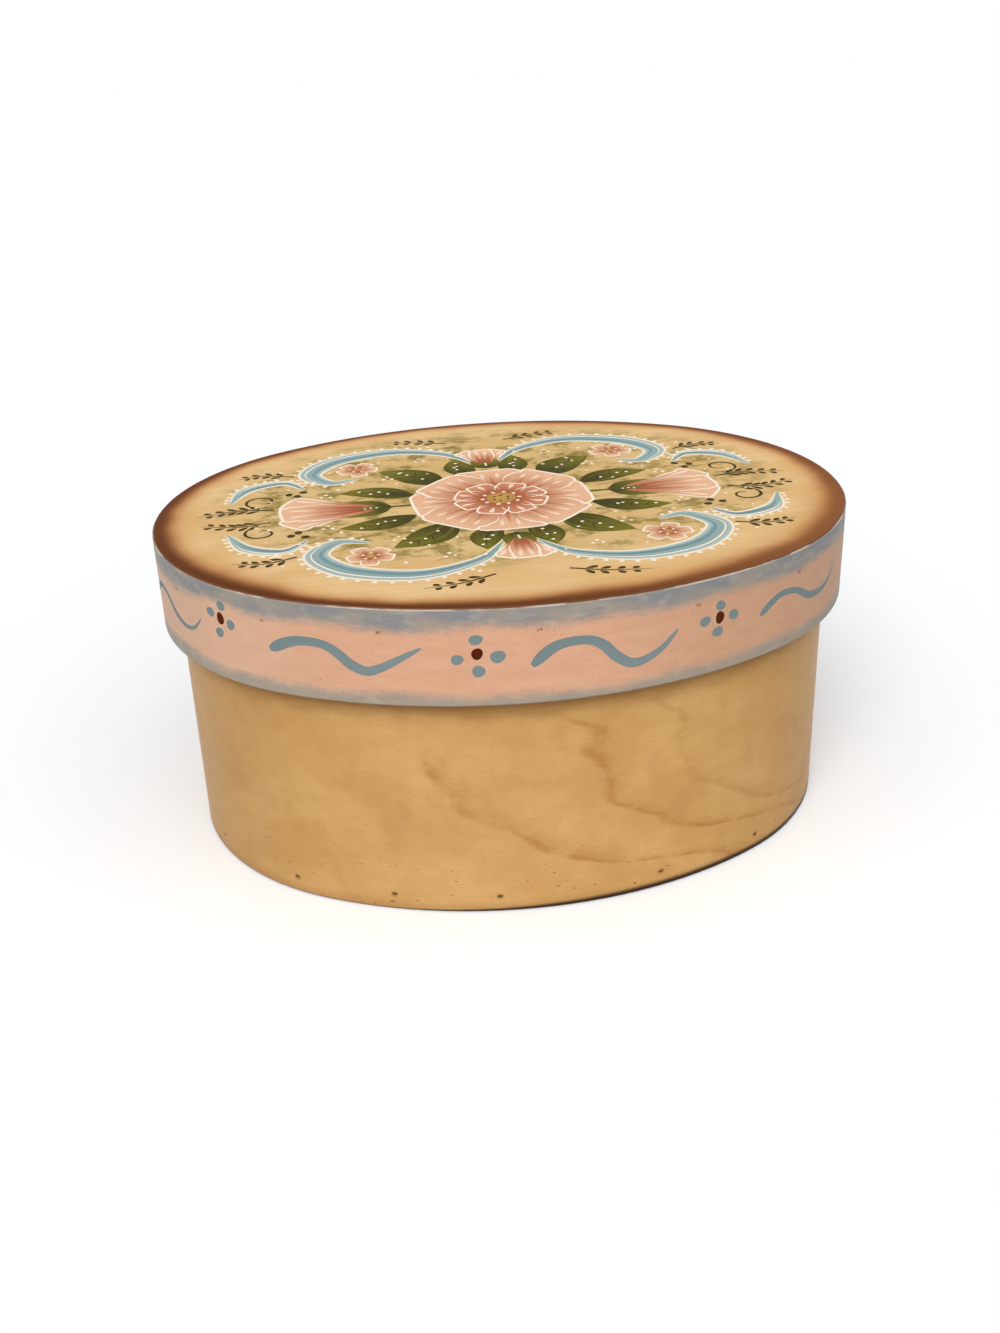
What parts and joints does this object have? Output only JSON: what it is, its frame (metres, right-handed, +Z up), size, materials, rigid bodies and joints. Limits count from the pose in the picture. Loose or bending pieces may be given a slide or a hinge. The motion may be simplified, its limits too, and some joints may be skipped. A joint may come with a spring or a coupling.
{
  "type": "oval bentwood box",
  "caption": "Oval bent-wood box with a cap lid that lifts straight off, its lid painted with a floral spray and its lid band with blue strokes and dot flowers.",
  "frame": {"origin": "centre of the oval foot, on the surface the box stands on", "axes": "+X along the box's length, -Y to the front, +Y to the back where the bands are lapped, +Z up"},
  "size_m": [0.19, 0.1524, 0.0875],
  "materials": {
    "box_wood": "clear satin varnish on pale birch",
    "board_wood": "bare sawn wood",
    "painted_band": "satin paint, salmon ground shaded blue-grey at both edges",
    "painted_top": "satin varnish over a sponged wash, rim shaded brown",
    "steel_pins": "dull, slightly rusted"
  },
  "bodies": {
    "box": {"box_side": "box_wood", "box_bottom": "board_wood", "box_brads": "steel_pins", "box_lap_tacks": "steel_pins"},
    "lid": {"lid_side": "painted_band", "lid_board": "painted_top", "lid_brads": "steel_pins", "lid_lap_tacks": "steel_pins"}
  },
  "joints": [
    {"name": "lid_lift", "type": "slide", "parent": "box", "child": "lid", "axis": [0, 0, 1], "range_m": [0, 0.06]}
  ]
}
